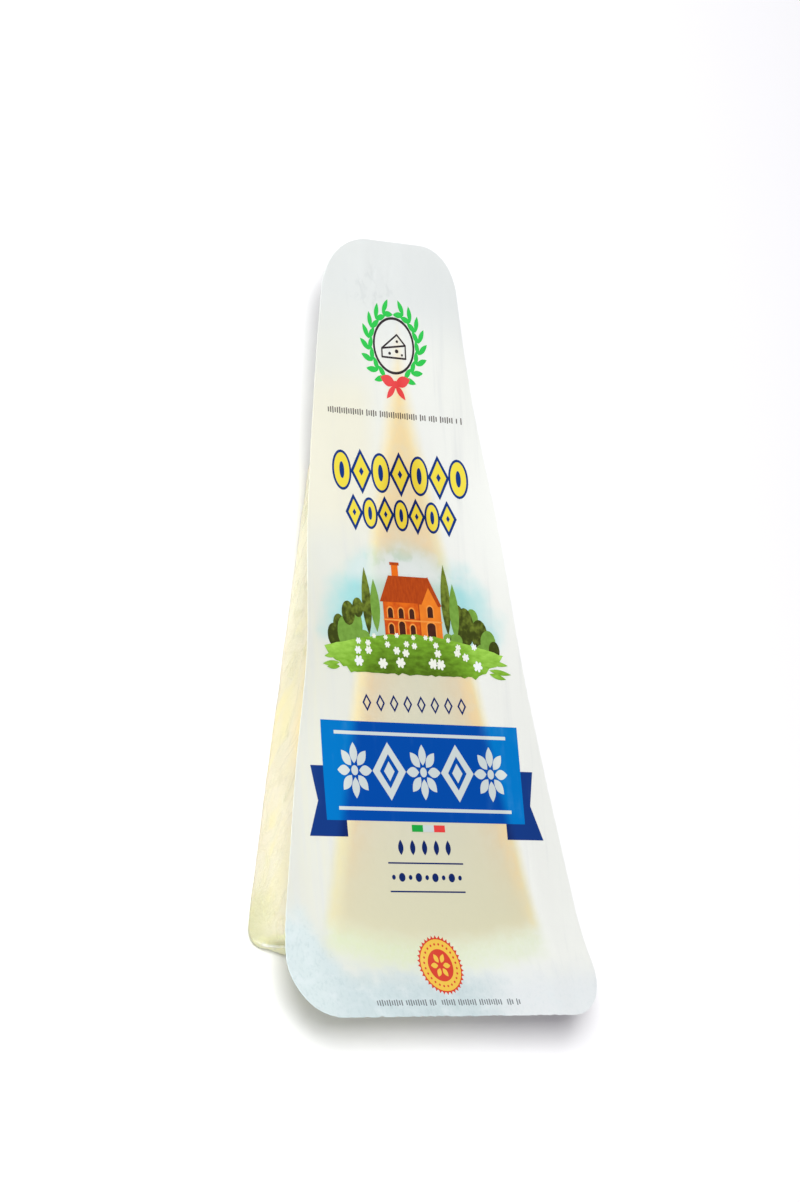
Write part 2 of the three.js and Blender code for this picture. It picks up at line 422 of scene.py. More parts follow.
def film_at(along):
    """Where the film is, seen from its side, and its slope there."""
    bend_rate = LIP_ANGLE / LIP_BEND
    curl_rate = CURL_ANGLE / (PACK_LENGTH - CURL_START)
    lip = min(along, LIP_LENGTH)
    bend = LIP_ANGLE - bend_rate * min(max(along - LIP_LENGTH, 0), LIP_BEND)
    flat = max(min(along, CURL_START) - LIP_LENGTH - LIP_BEND, 0)
    curl = curl_rate * max(along - CURL_START, 0)
    y = lip * math.cos(LIP_ANGLE) + (math.sin(LIP_ANGLE) - math.sin(bend)) / bend_rate
    y += flat + math.sin(curl) / curl_rate
    z = (LIP_LENGTH - lip) * math.sin(LIP_ANGLE) + (1 - math.cos(bend)) / bend_rate
    z += (1 - math.cos(curl)) / curl_rate
    return y, z, curl - bend


def long_edge(side):
    """How a long edge leans, and where along the pack it leaves its two corners."""
    bottom, top = CORNERS[side]
    lean = math.atan2(BOTTOM_HALF - bottom - TOP_HALF + top, PACK_LENGTH - bottom - top)
    return lean, bottom * (1 + math.sin(lean)), PACK_LENGTH - top * (1 - math.sin(lean))


def half_width(along, side):
    """The film's width on one side of its middle, with round corners and a slight waist."""
    bottom, top = CORNERS[side]
    lean, low, high = long_edge(side)
    if along < low:
        return BOTTOM_HALF - bottom + math.sqrt(max(bottom**2 - (bottom - along) ** 2, 0))
    if along > high:
        return TOP_HALF - top + math.sqrt(max(top**2 - (along - PACK_LENGTH + top) ** 2, 0))
    share = (along - low) / (high - low)
    low_half = BOTTOM_HALF - bottom * (1 - math.cos(lean))
    high_half = TOP_HALF - top * (1 - math.cos(lean))
    return low_half + (high_half - low_half) * share - WAIST * math.sin(math.pi * share)


def bell(offset):
    return math.exp(-0.5 * offset * offset)


def on_film(x, along, height):
    """A point of the bent film in metres, with the slack wave of each long edge."""
    side = "left" if x < 0 else "right"
    middle, spread, lift = EDGE_WAVES[side]
    across = min(abs(x) / max(half_width(along, side), 1), 1)
    height += lift * across**3 * bell((along - middle) / spread)
    y, z, slope = film_at(along)
    return Vector((
        x * MM,
        FOOT_Y + (y - height * math.sin(slope)) * MM,
        FACE_Z + (z + height * math.cos(slope)) * MM,
    ))


def arc(centre, radius, start, end, steps):
    turns = (math.radians(start + (end - start) * i / steps) for i in range(steps))
    return [Vector((centre[0] + radius * math.cos(t), centre[1] + radius * math.sin(t))) for t in turns]


def edge_places(side, shift=0):
    """Points up a long edge, without one of its ends."""
    _, low, high = long_edge(side)
    steps = RING_STEPS["side"]
    alongs = [low + (high - low) * (i + shift) / steps for i in range(steps)]
    return [Vector((half_width(along, side), along)) for along in alongs]


def end_places(start, end, along, steps):
    """Points across one end of the pack, without the last of them."""
    return [Vector((start + (end - start) * i / steps, along)) for i in range(steps)]


def pack_ring():
    """Points round the film's outline, in step with those of the wedge's rings."""
    (left_low, left_high), (right_low, right_high) = CORNERS["left"], CORNERS["right"]
    left_lean, right_lean = (math.degrees(long_edge(side)[0]) for side in ("left", "right"))
    tip_steps = RING_STEPS["tip"] * 3 // 8
    start, end = left_low - BOTTOM_HALF, BOTTOM_HALF - right_low
    high_start, high_end = TOP_HALF - right_high, left_high - TOP_HALF
    return (
        end_places(start, end, 0, RING_STEPS["base"])
        + arc((end, right_low), right_low, -90, right_lean, RING_STEPS["corner"])
        + edge_places("right")
        + arc((high_start, PACK_LENGTH - right_high), right_high, right_lean, 90, tip_steps)
        + end_places(high_start, high_end, PACK_LENGTH, RING_STEPS["tip"] - 2 * tip_steps)
        + arc((high_end, PACK_LENGTH - left_high), left_high, 90, 180 - left_lean, tip_steps)
        + [Vector((-p.x, p.y)) for p in reversed(edge_places("left", 1))]
        + arc((start, left_low), left_low, 180 - left_lean, 270, RING_STEPS["corner"])
    )


def pleats(i, depth, around):
    """How far the film stands off the wedge in the short pleats below the flange."""
    turn = i / around * math.tau
    wave = noise.noise(Vector((math.cos(turn) * 9, math.sin(turn) * 9, depth * 0.03)))
    return 0.9 * max(wave, -0.2) * bell((depth - MOUTH_DEPTH) / 6)


def crease(place, seed):
    """Fine sharp ridges where slack film was pressed flat. They run down and back along each side."""
    across = place.y * 0.42 - place.z * 0.9
    length = place.y * 0.9 + place.z * 0.42
    first = 1 - abs(noise.noise(Vector((across * 0.13, length * 0.025, seed)))) * 5
    second = 1 - abs(noise.noise(Vector((across * 0.3, length * 0.05, seed + 7)))) * 6
    return 0.3 * max(first, 0) + 0.18 * max(second, 0)


FOLD_MIDDLE, FOLD_REACH, FOLD_FALL = 10, 35.5, 0.82


def pinch(place, depth):
    """A fold that stands up across the rind end, low at its corners and higher in its middle."""
    fold = PACK_DEPTH - min(FOLD_REACH - FOLD_FALL * abs(place.x), FOLD_MIDDLE)
    return 0.5 * bell((depth - fold) / 0.9) * smooth(place.y, 27, 23)


edge_ring, mouth_ring = pack_ring(), wedge_ring(MOUTH)
around = len(mouth_ring)
film_rings = []
flange_steps = 16
for i in range(flange_steps + 1):
    share = i / flange_steps
    ring = [p.lerp(q, share) for p, q in zip(edge_ring, mouth_ring)]
    trimmed = [p + (q - p).normalized() * 0.6 * (1 - share) for p, q in zip(ring, mouth_ring)]
    film_rings.append([on_film(p.x, p.y, FLANGE_TOP) for p in trimmed])
wall_levels = [(MOUTH_DEPTH * i / 8 - FLANGE_TOP, (1 - i / 8) ** 2, 0) for i in range(1, 9)]
wall_top = wall_levels[-1][0]
wall = PACK_DEPTH - EDGE_ROUND - wall_top
wall_levels += [(wall_top + wall * i / 24, 0, 0) for i in range(1, 25)]
wall_levels += [(PACK_DEPTH - depth, 0, inset) for depth, inset in edge_levels(EDGE_ROUND, 7)[1:]]
wall_levels += [(PACK_DEPTH, 0, EDGE_ROUND + (FACE_REACH - EDGE_ROUND) * i / 18) for i in range(1, 19)]
for depth, spread, inset in wall_levels:
    ring = []
    for i, (p, q) in enumerate(zip(wedge_at(depth, inset), mouth_ring)):
        mixed = p.lerp(q, spread)
        lift = film_at(mixed.y)[1] if mixed.y < LIP_LENGTH + LIP_BEND else 0
        outward = (mixed - Vector((0, 60))).normalized()
        loose = pleats(i, depth, around) if inset == 0 else 0
        loose += pinch(mixed, depth)
        flat = Vector((mixed.x, mixed.y, -depth))
        tight = -0.35 + min(crease(flat, 2) + loose, 1.0) if spread < 0.6 and inset < EDGE_ROUND else 0
        mixed = mixed + outward * tight * min(1, 1.4 - spread)
        rise = spread * lift - depth
        ring.append(Vector((mixed.x * MM, FOOT_Y + mixed.y * MM, FACE_Z + rise * MM)))
    film_rings.append(ring)
centre = sum(film_rings[-1], Vector()) / around
film_rings[-1] = [centre] * around
bm = rolled(film_rings)
bmesh.ops.reverse_faces(bm, faces=bm.faces)
bmesh.ops.solidify(bm, geom=bm.faces[:], thickness=FORMED_FILM * MM)
bmesh.ops.recalc_face_normals(bm, faces=bm.faces)

board = Board("clear_formed_film")
coords, x, along, height = board.places()
crinkle = board.noise(slanted(board, x, along, height, 5), 6, 2, Distortion=0.6)
wrinkle = board.noise(slanted(board, x, along, height, 4), 2.6, 2, Distortion=0.5)
normal = board.bump(crinkle + wrinkle * 0.5, 1.2, 0.7)
gloss = {"Color": (1, 1, 1, 1), "Roughness": 0.16, "Normal": normal}
mirror = board.node("ShaderNodeBsdfGlossy", {}, gloss)["BSDF"]
clear = board.node("ShaderNodeBsdfTransparent", {}, {"Color": (0.985, 0.99, 0.975, 1)})["BSDF"]
tilt = board.node("ShaderNodeLayerWeight", {}, {"Blend": 0.5, "Normal": normal})["Facing"]
film_look = board.blend(0.03 + 0.07 * tilt**5, clear, mirror)
# Fine yellowish lines along the crease ridges on the sides: painted light and shade of the film's
# wrinkles.
ridge = board.step(abs(crinkle - 0.5), 0.03, 0.0).most(board.step(abs(wrinkle - 0.5), 0.02, 0.0) * 0.4)
on_side = board.step(height, -2, -6) * board.step(height, -34.5, -33)
painted_wrinkle_tone = board.principled({"Base Color": shade(226, 222, 172), "Roughness": 0.3})
film_look = board.blend(ridge * on_side * 0.14, film_look, painted_wrinkle_tone)
# A painted highlight: a white line along the fold across the rind end, where the fold's gloss would
# catch the light.
fold = (FOLD_REACH - abs(x) * FOLD_FALL).least(FOLD_MIDDLE)
to_fold = height + PACK_DEPTH - fold + (wrinkle - 0.5) * 1.2
folded = board.step(abs(to_fold), 0.8, 0.15) * board.step(along + (wrinkle - 0.5) * 4, 25, 22.5)
folded = folded * (0.3 + 0.7 * board.step(crinkle, 0.36, 0.5))
painted_fold_highlight = board.principled({"Base Color": shade(246, 247, 240), "Roughness": 0.25})
film_look = board.blend(folded * 0.8, film_look, painted_fold_highlight)
formed_film = new_piece("formed_film", bm, board.finish(film_look))
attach(formed_film, "root")
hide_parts("wedge_in_formed_film")


# The lid: a milky film sealed to the flange all round. The vacuum draws it flat on to the cheese and
# a little way down into the gap round it. It is creased at its top and its cut end is finely wavy.
LID_FILM = 0.15
LID_ROWS, LID_COLUMNS = 220, 104


def inside_wedge(wedge, x, along):
    """How far a place on the lid is inside a wedge's outline, less than nothing outside it."""
    slope = math.atan2(wedge["half"], wedge["apex"] - wedge["base"])
    side = (wedge["apex"] - along) * math.sin(slope) - abs(x) * math.cos(slope)
    curved = wedge["base"] - wedge["bulge"] * (1 - (x / wedge["half"]) ** 2)
    return min(side, along - curved)


def lid_relief(x, along):
    """The height of the lid's face over the flat film, in millimetres."""
    in_cheese = inside_wedge(WEDGE_FRONT, x, along)
    in_mouth = inside_wedge(MOUTH, x, along)
    groove = -0.12 * smooth(in_mouth, -2, 3) * (1 - smooth(in_cheese, -4.5, 1.5))
    over_film = 1 - smooth(in_mouth, -2, 4)
    streaks = 0.08 * noise.noise(Vector((x * 0.12, along * 0.018, 4)))
    top = smooth(along, 184, 196)
    crumple = noise.fractal(Vector((x * 0.11, along * 0.09, 1.7)), 0.6, 2.2, 3)
    creased = 0.06 + 0.16 * bell((x + 9) / 8) * bell((along - 192) / 7)
    return groove + over_film * streaks + top * creased * max(crumple, 0) - 0.15


def cut_edge(place):
    """How far the cut edge of the film wanders inwards, in millimetres."""
    slow = abs(noise.noise(Vector((place * 0.35, 3.1, 0))))
    quick = abs(noise.noise(Vector((place, 8, 0))))
    return 0.45 * slow + 0.15 * quick


def thicken(bm, thickness):
    """Gives an open sheet its thickness, in millimetres, below the face that it has."""
    made = bmesh.ops.extrude_face_region(bm, geom=bm.faces[:])
    lower = [item for item in made["geom"] if isinstance(item, bmesh.types.BMVert)]
    bmesh.ops.translate(bm, vec=(0, 0, -thickness * MM), verts=lower)
    bmesh.ops.recalc_face_normals(bm, faces=bm.faces)


def film_stations(rows):
    """Distances along the film, closer together round the corners."""
    corner, ends = 17, 18
    stations = [corner * (1 - math.cos(i / ends * math.pi / 2)) for i in range(ends)]
    middle = rows - 2 * ends
    stations += [corner + (PACK_LENGTH - 2 * corner) * i / middle for i in range(middle + 1)]
    stations += [PACK_LENGTH - s for s in reversed(stations[:ends])]
    return stations


stations = film_stations(LID_ROWS)
bm = bmesh.new()
bmesh.ops.create_grid(bm, x_segments=LID_COLUMNS, y_segments=LID_ROWS, size=1)
for vert in bm.verts:
    across = vert.co.x
    along = stations[round((vert.co.y + 1) / 2 * LID_ROWS)]
    side = "left" if across < 0 else "right"
    x = across * half_width(along, side)
    side_nick = cut_edge(along + x) * smooth(abs(across), 0.96, 1) * 0.7
    nick = cut_edge(x) * bell(along / 3) * 1.4
    x -= math.copysign(side_nick + 0.02, x) if abs(across) > 0.9 else 0
    vert.co = on_film(x, min(along + nick, PACK_LENGTH), lid_relief(x, along))
thicken(bm, LID_FILM)


GLOW_SPREAD, GLOW_LEAN, GLOW_SHIFT = 7.5, 0.02, -1.3
LID_MILKINESS, LID_LOSS = 0.3, 0.03


def cheese_below(x, along):
    """How far inside the glow of the wedge a place on the lid is, from its sides and from its base."""
    slope = math.atan2(WEDGE_FRONT["half"], WEDGE_FRONT["apex"] - WEDGE_FRONT["base"])
    tip = WEDGE_FRONT["apex"] + GLOW_SPREAD
    off_middle = abs(x - along * GLOW_LEAN - GLOW_SHIFT)
    to_side = (tip - along) * math.sin(slope) - off_middle * math.cos(slope)
    curve = WEDGE_FRONT["bulge"] / WEDGE_FRONT["half"] ** 2
    return to_side, along - (WEDGE_FRONT["base"] - WEDGE_FRONT["bulge"]) - x * x * curve


board = Board("milky_lid_film")
coords, x, along, _ = board.places()
to_side, to_base = cheese_below(x, along)
cloud = board.noise(coords, 9, 2) - 0.5
blotch = board.noise(coords, 5, 4, (1, 1.6, 1)) - 0.5
streak = board.noise(coords, 2.6, 3, (1, 0.05, 1))
frost = board.noise(coords, 1.0, 5, (1, 0.8, 1), Distortion=0.4) - 0.5
fine = board.noise(coords, 1.6, 3)

# Where the lid lies on the cheese it is warm, and changes from the wedge's sides inwards. The bright
# warm band just inside the sides, the right edge and the tip are painted glow, as of light passing
# through the cheese's edges.
warm = board.node("ShaderNodeValToRGB", {"stops": [
    (0.0, (243, 236, 200)),
    (0.07, (242, 231, 188)),
    (0.23, (234, 217, 180)),
    (0.38, (229, 219, 190)),
    (0.6, (226, 222, 196)),
    (1.0, (223, 222, 199)),
]}, {"Fac": (to_side + cloud * 2) / 24})["Color"]
upper = board.step(along, 95, 140) * board.step(to_side, 0.5, 4)
# A painted glow along the wedge's right edge, as of light passing through the cheese.
right_edge_glow = board.step(to_side, 6.5, 4) * board.step(to_side, 0, 2.5)
right_edge_glow = right_edge_glow * board.step(x, 12, 22) * board.step(along, 26, 40)
left_rim = board.step(to_side, 6, 2.5) * board.step(x, -16, -26) * board.step(along, 56, 44)
mottle = board.step(board.noise(coords, 3.5, 4), 0.42, 0.66)
low_half = board.step(along, 60, 24) * (0.35 + 0.5 * board.step(to_side, 1, 6))
warm = board.over(
    warm,
    (upper * 0.6, (236, 213, 182)),
    # The tip is painted warmer and lighter, a glow of light through the cheese.
    (board.step(along, 110, 150) * 0.7, (247, 229, 174)),
    (right_edge_glow * board.step(along, 110, 90) * 0.45, (246, 216, 160)),
    (left_rim * 0.45, (228, 228, 192)),
    (mottle * 0.3, (230, 227, 206)),
    (low_half, (227, 225, 194)),
)

# Over the empty film it is a cool white, streaked along its edges and creased near its top, with
# painted shade in those creases.
left_streaks = board.step(streak, 0.42, 0.66) * board.step(x, -30, -38) * board.step(along, 20, 40)
low_left = board.step(x, -40, -50) * board.step(along, 90, 60)
creased_patch = (x + 7) * (x + 7) / 90 + (along - 191) * (along - 191) / 50
# Painted shade: grey patches in the creases near the top.
crease_shade = board.noise(coords, 3.2, 3, (1, 0.6, 1), Distortion=0.8)
crease_shade = board.step(crease_shade, 0.52, 0.64) * board.step(creased_patch, 1.6, 0.2)
creamy = board.step(x, -4, -14) * board.step(along, 120, 135) * board.step(along, 172, 160)
film_white = board.over(
    board.mix(board.step(x, -26, 12), (232, 234, 226), (243, 245, 240)),
    (left_streaks * 0.4, (238, 238, 218)),
    (low_left * 0.6, (223, 225, 217)),
    (board.step(streak, 0.5, 0.2) * 0.5, (226, 229, 227)),
    (board.step(along, 170, 192) * 0.8, (229, 233, 232)),
    (crease_shade * 0.35, (211, 216, 215)),
    (creamy * 0.6, (241, 238, 218)),
)

# Its foot, below the rind, is frosted, and bluer and darker towards its left and middle, a painted
# shadow of the floor seen through the film; it is pale green just where the rind is behind it.
foot = board.step(along + blotch * 6 - board.step(x, -34, -50) * 16, 17, 6)
foot_frost_and_shadow = board.over(
    board.mix(board.step(x + blotch * 10, 2, 26), (212, 225, 226), (236, 240, 240)),
    (board.step(x + blotch * 8, -34, -46) * 0.6, (226, 236, 235)),
    ((frost * 1.8).most(0).least(0.8) * (1 - 0.7 * board.step(x, 2, 26)), (190, 208, 209)),
    ((blotch * 2.2).most(0).least(0.7), (234, 241, 242)),
)
below = to_base + blotch * 5
under_rind = board.step(below, -9, -2) * board.step(below, 7, 1)
under_rind = under_rind * board.step(to_side + blotch * 4, -4, 4)
rind_white = board.mix(board.step(x, -10, 22), (226, 233, 204), (233, 239, 218))
film_white = board.over(film_white, (foot, foot_frost_and_shadow), (under_rind * (0.9 - frost * 0.8), rind_white))

# The cheese's edge shows sharply below and softly near its tip, where the film stands off it.
near_tip = board.step(along, 120, 158)
sharp_side = board.step(to_side + cloud, -2.6, 1.4)
soft_side = board.step(to_side + cloud, -3.6, 3.4)
touching = (sharp_side * (1 - near_tip) + soft_side * near_tip) * board.step(below, -2, 5)

# A blue haze with pale puffs is printed straight on the film, behind the landscape.
haze = x * x / 1225 + (along - 97) * (along - 97) / 780 + (board.noise(coords, 7, 3) - 0.5) * 0.5
sky = board.step(haze, 1.15, 0.45) * board.step(along, 96, 100)
puffs = board.step(board.noise(coords, 4.5, 3) + 0.5 - haze * 0.4, 0.55, 0.75)
puffs = puffs * board.step(along, 112, 117)
lid_colour = board.over(
    board.mix(touching, film_white, warm),
    (sky * (0.5 + 0.35 * board.step(abs(x), 8, 20)), (160, 224, 226)),
    (puffs * sky * 0.8, (238, 240, 238)),
    (LID_LOSS, (0, 0, 0)),
)

lid_normal = board.bump(fine + streak, 0.05, 0.4)
lid_face = board.principled({
    "Base Color": lid_colour,
    "Roughness": 0.36 + 0.12 * fine,
    "Normal": lid_normal,
})
glow = {"Color": lid_colour, "Normal": lid_normal}
through = board.node("ShaderNodeBsdfTranslucent", {}, glow)["BSDF"]
lid = new_piece("lid_sheet", bm, board.finish(board.blend(LID_MILKINESS, lid_face, through)))
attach(lid, "root")
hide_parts("lid_film")


# The print: thin inks on the lid's face. Each printed shape is a flat cutting that is laid on the film.
# Inks look lighter over the empty flange, and darker where the cheese is right behind them. Their paler
# streaks are painted light.
INK_LIFT, INK_STEP, INK_THICK, INK_CELL = 0.04, 0.014, 0.004, 1.2


def beside(place, across, along):
    return place[0] + across, place[1] + along


def spoke(centre, turn, across, along):
    """The end of a spoke that leaves a centre at an angle in radians."""
    return beside(centre, across * math.cos(turn), along * math.sin(turn))


def oval(centre, half_across, half_along, turn=0, steps=28):
    """Points of an oval that is turned by some degrees."""
    points = []
    swing = math.radians(turn)
    for i in range(steps):
        angle = math.tau * i / steps
        x, y = half_across * math.cos(angle), half_along * math.sin(angle)
        points.append((
            centre[0] + x * math.cos(swing) - y * math.sin(swing),
            centre[1] + x * math.sin(swing) + y * math.cos(swing),
        ))
    return points


def disc(centre, radius, steps):
    return oval(centre, radius, radius, 0, steps)


def lozenge(centre, half_across, half_along):
    return oval(centre, half_across, half_along, 0, 4)


def box_of(left, right, low, high):
    return [(left, low), (right, low), (right, high), (left, high)]


def leaf(foot, tip, half):
    """A pointed leaf from its foot to its tip."""
    foot, tip = Vector(foot), Vector(tip)
    side = (tip - foot).orthogonal().normalized() * half * 2
    middle = foot.lerp(tip, 0.45)
    return bow(foot, middle + side, tip, 7) + bow(tip, middle - side, foot, 7)


class Cutting:
    """Flat shapes of ink, in layers, that are laid on the lid together."""

    def __init__(self, *inks):
        self.bm, self.inks = bmesh.new(), inks

    def corners(self, points, layer):
        return [self.bm.verts.new((p[0], p[1], layer * INK_STEP)) for p in points]

    def face(self, corners, ink):
        self.bm.faces.new(corners).material_index = self.inks.index(ink)

    def shape(self, points, ink, layer=0):
        self.face(self.corners(points, layer), ink)

    def band(self, outer, inner, ink, layer=0):
        """A closed band between two outlines that have the same number of points."""
        far, near = self.corners(outer, layer), self.corners(inner, layer)
        for i in range(len(far)):
            j = (i + 1) % len(far)
            self.face((far[i], far[j], near[j], near[i]), ink)

    def stroke(self, points, width, ink, layer=0):
        """A pen's line through the points, with a round dot at each turn."""
        for start, end in zip(points, points[1:]):
            start, end = Vector(start), Vector(end)
            side = (end - start).orthogonal().normalized() * width / 2
            self.shape((start - side, end - side, end + side, start + side), ink, layer)
        for point in points[:-1]:
            self.shape(disc(point, width / 2, 12), ink, layer + 0.2)

    def lay(self, name):
        """Cuts the shapes finely enough to follow the film, and bends them on to it."""
        bm = self.bm
        for axis in (0, 1):
            normal = Vector((1 - axis, axis, 0))
            places = [v.co[axis] for v in bm.verts]
            at = math.floor(min(places) / INK_CELL) * INK_CELL + INK_CELL
            while at < max(places):
                geom = bm.verts[:] + bm.edges[:] + bm.faces[:]
                bmesh.ops.bisect_plane(bm, geom=geom, plane_co=normal * at, plane_no=normal)
                at += INK_CELL
        bmesh.ops.triangulate(bm, faces=[f for f in bm.faces if len(f.verts) > 4])
        for vert in bm.verts:
            x, along, layer = vert.co
            vert.co = on_film(x, along, lid_relief(x, along) + INK_LIFT + layer)
        thicken(bm, INK_THICK)
        piece = new_piece(name, bm, *self.inks)
        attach(piece, "root")
        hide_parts("lid_film")


def lid_ink(name, on_cheese, on_empty, light_streak_share, gloss=0.1):
    """An ink with one look over the cheese and another over the empty film, with paler streaks that are
    painted light.
    """
    board = Board(name)
    coords, x, along, _ = board.places()
    to_side, to_base = cheese_below(x, along)
    touching = board.step(to_side, -1.5, 3) * board.step(to_base, -1, 4)
    cloud = board.noise(coords, 6, 3)
    streak = board.noise(coords, 4, 2, (1, 0.08, 1))
    colour = board.mix(touching, on_empty, on_cheese)
    paler = tuple(c + (255 - c) * 0.35 for c in on_empty)
    # Paler streaks, weaker over the cheese: painted streaks of light on the ink.
    light_streaks = board.step(cloud * 0.4 + streak * 0.6, 0.5, 0.85) * (1 - touching * 0.7) * light_streak_share
    return board.finish(board.principled({
        "Base Color": board.mix(light_streaks, colour, paler),
        "Roughness": 0.36 + 0.1 * cloud,
        "Specular IOR Level": gloss,
        "Normal": board.bump(streak, 0.05, 0.4),
    }))


# The wreath at the top: two sprigs of green leaves, tied with a red bow, round a dark ring with a
# small wedge of cheese in it. It is printed on the empty film above the wedge's tip.
WREATH = (0.8, 177.5)
RING_OUTSIDE, RING_INSIDE, SPRIG_REACH = 7.6, 6.9, 9.2
SPRIG_LEAVES, LEAF_LENGTH, LEAF_HALF = 8, 3.5, 0.8
WEDGE_LINE = (
    (-4.4, -0.9), (-4.4, -3.2), (4.2, -3.2), (4.2, 0.3), (-4.4, -0.9), (1.2, 3.0), (4.2, 0.3),
)
WEDGE_HOLES = ((-1.6, -2.1, 0.5), (1.0, -1.4, 0.65), (2.9, -2.3, 0.4), (1.2, 1.2, 0.45))
black = lid_ink("dark_ink", (36, 28, 28), (50, 44, 46), 0.1)
green = lid_ink("green_ink", (24, 146, 56), (46, 182, 74), 0.25)
red = lid_ink("red_ink", (204, 58, 56), (212, 70, 72), 0.2)

cutting = Cutting(black, green, red)
cutting.band(disc(WREATH, RING_OUTSIDE, 56), disc(WREATH, RING_INSIDE, 56), black)
cutting.stroke([beside(WREATH, x, y) for x, y in WEDGE_LINE], 0.5, black, 1)
for x, y, size in WEDGE_HOLES:
    cutting.shape(oval(beside(WREATH, x, y), size, size * 0.8, 0, 14), black, 1)
for side in (-1, 1):
    for i in range(SPRIG_LEAVES):
        turn = math.radians(-68 + i * 19)
        outward = (math.cos(turn) * side, math.sin(turn))
        onward = (-outward[1] * side, outward[0] * side)
        foot = beside(WREATH, outward[0] * SPRIG_REACH, outward[1] * SPRIG_REACH)
        for j, lean in enumerate((-0.5, 0.75)):
            tip = [foot[k] + (onward[k] + outward[k] * lean) * LEAF_LENGTH for k in (0, 1)]
            cutting.shape(leaf(foot, tip, LEAF_HALF), green, 1 + i % 2 + j * 2)
for side in (-1, 1):
    cutting.shape(leaf(beside(WREATH, 0, -10.2), beside(WREATH, side * 5.4, -8.6), 1.5), red, 5)
    cutting.shape(leaf(beside(WREATH, 0, -10.4), beside(WREATH, side * 3.4, -14.2), 0.9), red, 6)
cutting.shape(oval(beside(WREATH, 0, -10.3), 1.1, 1.0), red, 7)
cutting.lay("printed_wreath")


# The upper rule: a fine row of short dark bars, printed in one ink across the wedge's tip. The rule
# along the lid's lower edge is made in the same way.
BAR_HEIGHT = 1.5
fine_black = lid_ink("fine_dark_ink", (70, 56, 48), (88, 82, 80), 0.1)


def fine_rule(name, ink, left, right, along, pitch):
    """A fine rule of short upright bars, with a wider space after each few of them."""
    cutting = Cutting(ink)
    count = round((right - left) / pitch)
    for i in range(count):
        if noise.noise(Vector((i * 0.61, along, 0.3))) > 0.28:
            continue
        x = left + (right - left) * (i + 0.5) / count
        reach = BAR_HEIGHT * (0.42 + 0.08 * (i % 3))
        bar = box_of(x - pitch * 0.24, x + pitch * 0.24, along - reach, along + reach)
        cutting.shape(bar, ink)
    cutting.lay(name)


fine_rule("printed_upper_rule", fine_black, -24.4, 24.6, 159, 0.82)


# The ornaments: two rows of yellow ovals and lozenges with dark blue edges, printed in two inks over
# the upper part of the cheese. The upper row is the wider one.
ORNAMENTS = 7
ORNAMENT_ROWS = ((138.0, 148.6, 24.6, 0.6), (128.2, 136.6, 19.8, 0))
yellow = lid_ink("yellow_ink", (207, 184, 54), (216, 200, 66), 0.2)
navy = lid_ink("navy_ink", (10, 32, 88), (14, 50, 116), 0.1)

cutting = Cutting(yellow, navy)
for row, (low, high, reach, shift) in enumerate(ORNAMENT_ROWS):
    half_along = (high - low) / 2
    pitch = reach * 2 / ORNAMENTS
    half = pitch / 2 - 0.15
    for i in range(ORNAMENTS):
        centre = (-reach + pitch * (i + 0.5) + shift, (low + high) / 2)
        if (i + row) % 2:
            cutting.shape(lozenge(centre, half + 0.5, half_along + 0.7), navy, 0)
            cutting.shape(lozenge(centre, half - 0.55, half_along - 0.75), yellow, 1)
            cutting.shape(lozenge(centre, half * 0.25, half_along * 0.22), navy, 2)
        else:
            cutting.shape(oval(centre, half + 0.1, half_along), navy, 0)
            cutting.shape(oval(centre, half - 0.6, half_along - 0.7), yellow, 1)
            cutting.shape(oval(centre, half * 0.26, half_along * 0.42), navy, 2)
cutting.lay("printed_yellow_ornaments")


# The landscape: a brick farmhouse between trees on a green hill with white flowers. It is a picture
# in soft uneven inks, printed over the middle of the cheese under a faint blue sky.
def picture_ink(board, colour):
    finish = {"Base Color": colour, "Roughness": 0.4, "Specular IOR Level": 0.1}
    return board.finish(board.principled(finish))


def mottled_ink(name, size, detail, dark, light):
    """A picture ink that is uneven between two colours."""
    board = Board(name)
    coords, *_ = board.places()
    return picture_ink(board, board.mix(board.noise(coords, size, detail), dark, light))


board = Board("hill_ink")
coords, x, along, _ = board.places()
tufts = board.noise(coords, 2.6, 4, (1, 2.5, 1))
open_ground = board.step(along, 88, 104) * 0.5 + board.step(abs(x), 10, 28) * 0.5
grass = board.node("ShaderNodeValToRGB", {"stops": [
    (0.0, (70, 98, 18)),
    (0.45, (108, 154, 40)),
    (1.0, (158, 206, 86)),
]}, {"Fac": open_ground + (tufts - 0.5) * 0.7})["Color"]
hill_ink = picture_ink(board, grass)

board = Board("tree_ink")
coords, _, along, _ = board.places()
lit = board.step(board.noise(coords, 1.8, 4) + (along - 104) * 0.02, 0.35, 0.8)
tree_ink = picture_ink(board, board.mix(lit, (54, 62, 18), (106, 122, 42)))

board = Board("brick_ink")
coords, x, along, _ = board.places()
lit = board.step(board.noise(coords, 2.4, 4) + (along - 105) * 0.02, 0.3, 0.75)
wall = board.mix(lit, (172, 62, 18), (208, 100, 22))
gable = board.step(x, 3.5, 3.7)
brick_ink = picture_ink(board, board.mix(gable * 0.6, wall, (222, 130, 40)))

board = Board("roof_ink")
coords, *_ = board.places()
tiles = board.noise(coords, 2, 2, (3, 1, 1))
roof_ink = picture_ink(board, board.mix(tiles, (136, 46, 14), (178, 74, 20)))

bush_ink = mottled_ink("bush_ink", 1.5, 3, (84, 120, 40), (122, 164, 70))
ledge_ink = mottled_ink("ledge_ink", 1.6, 3, (206, 118, 44), (228, 152, 72))
window_ink = mottled_ink("window_ink", 1.2, 2, (44, 22, 18), (78, 40, 26))
white = lid_ink("white_ink", (214, 217, 206), (216, 221, 219), 0.1)

